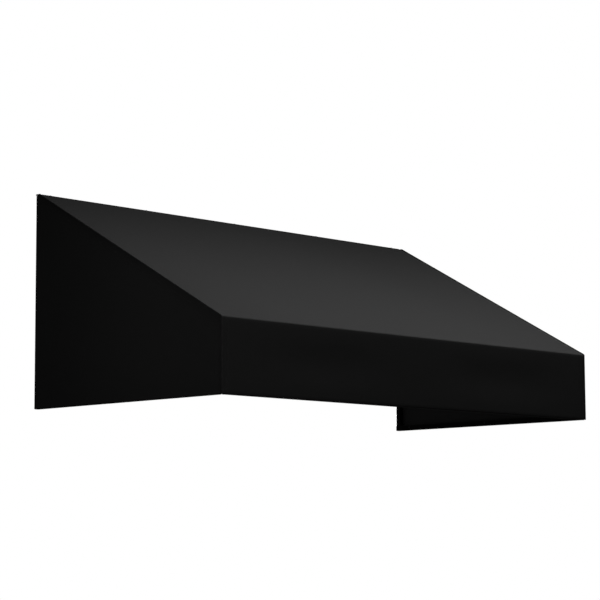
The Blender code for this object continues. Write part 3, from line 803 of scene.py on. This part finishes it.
def screw_mesh():
    """A pan-head screw with a cross recess. Its head's underside lies at z = 0 and its shank points down."""
    axes = Vector((1, 0, 0)), Vector((0, 1, 0))
    circles = []
    for k in range(1, HEAD_RINGS + 1):
        flat = circle(Vector((0, 0, 0)), *axes, HEAD_RADIUS * k / HEAD_RINGS, SCREW_SIDES)
        circles.append([Vector((x, y, head_height(x, y))) for x, y, _ in flat])
    profile = [
        (HEAD_RADIUS, HEAD_RIM),
        (HEAD_RADIUS - HEAD_RIM, 0),
        (SHANK_RADIUS, 0),
        (SHANK_RADIUS, POINT_LENGTH - SHANK_LENGTH),
        (POINT_RADIUS, -SHANK_LENGTH),
    ]
    circles += [circle(Vector((0, 0, z)), *axes, radius, SCREW_SIDES) for radius, z in profile]
    shape = bmesh.new()
    add_tube(shape, circles)
    # The cap over the head becomes a fan down to the middle of the recess
    cap = max(shape.faces, key=lambda face: (len(face.verts), face.calc_center_median().z))
    middle = bmesh.ops.poke(shape, faces=[cap])["verts"][0]
    middle.co.z = HEAD_HEIGHT - RECESS_MIDDLE_DEPTH
    mesh = closed_mesh(shape, "pan_head_screw")
    mesh.set_sharp_from_angle(angle=radians(38))
    mesh.materials.append(screw_metal)
    return mesh


def make_screws():
    """Pan-head screws in the places of the frame's plain ones."""
    mesh = screw_mesh()
    outwards = {
        "header_batten": Vector((0, 0, 1)),
        "front_batten": Vector((0, 1, 0)),
        "side_batten_left": Vector((1, 0, 0)),
        "side_batten_right": Vector((-1, 0, 0)),
    }
    for node in sorted(nodes):
        stem, _, number = node.partition("_screw_")
        if stem not in outwards or not number.isdigit():
            continue
        out = outwards[stem]
        low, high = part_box(node)
        reach = abs((high - low).dot(out)) / 2
        base = (low + high) / 2 + out * (reach - HEAD_HEIGHT)
        obj = bpy.data.objects.new(f"{stem}_pan_screw_{number}", mesh)
        bpy.context.scene.collection.objects.link(obj)
        turn = Matrix.Rotation(noise.noise(base * 30) * 3, 4, "Z")
        obj.matrix_world = Matrix.Translation(base) @ out.to_track_quat("Z", "Y").to_matrix().to_4x4() @ turn
        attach(obj, "root")
        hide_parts(node)


def coat_frame():
    """Gives each shown node of the frame the finish of its slot."""
    finishes = {
        "frame": frame_coat,
        "bracket": bracket_coat,
        "strip": strip_coat,
        "plug": plug_plastic,
        "screw": screw_metal,
        "welt": welt_cloth,
        "cloth": canvas,
    }
    for part in frame["record"]["subparts"]:
        node = nodes[part["node"]]
        for place in node.material_slots:
            place.material = finishes[part["material_slot"]]


def white_to_camera(tree, shader, output):
    """Shows the camera plain white, and lets the shader answer all other rays."""
    kind = "ShaderNodeBackground" if shader.type == "BACKGROUND" else "ShaderNodeEmission"
    white = tree.nodes.new(kind)
    white.inputs["Color"].default_value = (1, 1, 1, 1)
    white.inputs["Strength"].default_value = 1
    path = tree.nodes.new("ShaderNodeLightPath")
    mix = tree.nodes.new("ShaderNodeMixShader")
    tree.links.new(path.outputs["Is Camera Ray"], mix.inputs["Fac"])
    tree.links.new(shader.outputs[0], mix.inputs[1])
    tree.links.new(white.outputs[0], mix.inputs[2])
    tree.links.new(mix.outputs[0], tree.nodes[output].inputs["Surface"])


def make_floor():
    """A pale round floor far under the awning, which hangs on a wall that isn't shown."""
    shape = bmesh.new()
    bmesh.ops.create_circle(shape, cap_ends=True, segments=96, radius=FLOOR_RADIUS)
    mesh = finish_mesh(shape, "floor")
    floor = bpy.data.objects.new("floor", mesh)
    floor.location.z = FLOOR_LEVEL
    shader = Shader("floor_white")
    grain = shader.noise(shader.place(), 6.0)
    shader.set(Base_Color=shader.scaled((0.15, 0.15, 0.15), shader.spread(grain, 0.97, 1.03)), Roughness=0.9)
    white_to_camera(shader.tree, shader.surface, "Material Output")
    mesh.materials.append(shader.material)
    bpy.context.scene.collection.objects.link(floor)


def make_world():
    """White to the camera, and dim for the light that it gives, so that black cloth stays black."""
    world = bpy.data.worlds.new("studio")
    bpy.context.scene.world = world
    world.use_nodes = True
    dim = world.node_tree.nodes["Background"]
    dim.inputs["Color"].default_value = (1, 1, 1, 1)
    dim.inputs["Strength"].default_value = WORLD_LIGHT
    white_to_camera(world.node_tree, dim, "World Output")


def make_lights():
    """Large soft lights over the slope, small ones beside the left wing, and one that shows the inside."""
    for name, place, target, size, spread, power in LIGHTS:
        data = bpy.data.lights.new(name, "AREA")
        data.shape = "RECTANGLE"
        data.size, data.size_y = size
        data.spread = radians(spread)
        data.energy = power
        light = bpy.data.objects.new(name, data)
        light.location = place
        light.visible_camera = False
        direction = Vector(target) - Vector(place)
        light.rotation_euler = direction.to_track_quat("-Z", "Y").to_euler()
        bpy.context.scene.collection.objects.link(light)


def make_camera():
    """A camera with the photo's view. Its yaw turns it from +Y towards +X."""
    data = bpy.data.cameras.new("photo_view")
    data.sensor_width = CAMERA_SENSOR
    data.lens = CAMERA_LENS
    data.clip_end = 200
    camera = bpy.data.objects.new("photo_view", data)
    level = Vector((sin(CAMERA_YAW), cos(CAMERA_YAW), 0))
    forward = level * cos(CAMERA_PITCH) + Vector((0, 0, sin(CAMERA_PITCH)))
    right = Vector((level.y, -level.x, 0))
    up = right.cross(forward)
    rolled_right = cos(CAMERA_ROLL) * right + sin(CAMERA_ROLL) * up
    rolled_up = -sin(CAMERA_ROLL) * right + cos(CAMERA_ROLL) * up
    turn = Matrix((rolled_right, rolled_up, -forward)).transposed().to_4x4()
    camera.matrix_world = Matrix.Translation(CAMERA_PLACE) @ turn
    bpy.context.scene.collection.objects.link(camera)
    bpy.context.scene.camera = camera


def declare_cloth():
    """Works out how far a wing's hem runs, and leaves it unused."""
    wing_hem = wing_rows()[-1].distance


coat_frame()
canvas_top = make_cover()
canvas_wings = {side: make_wing(side, sign) for side, sign in SIDES.items()}
for side, sign in SIDES.items():
    make_welt(side, sign)
    make_stitches(side, sign)
make_screws()
make_weld_beads()
declare_cloth()

make_floor()
make_world()
make_lights()
make_camera()
bpy.context.scene.view_settings.view_transform = "Standard"
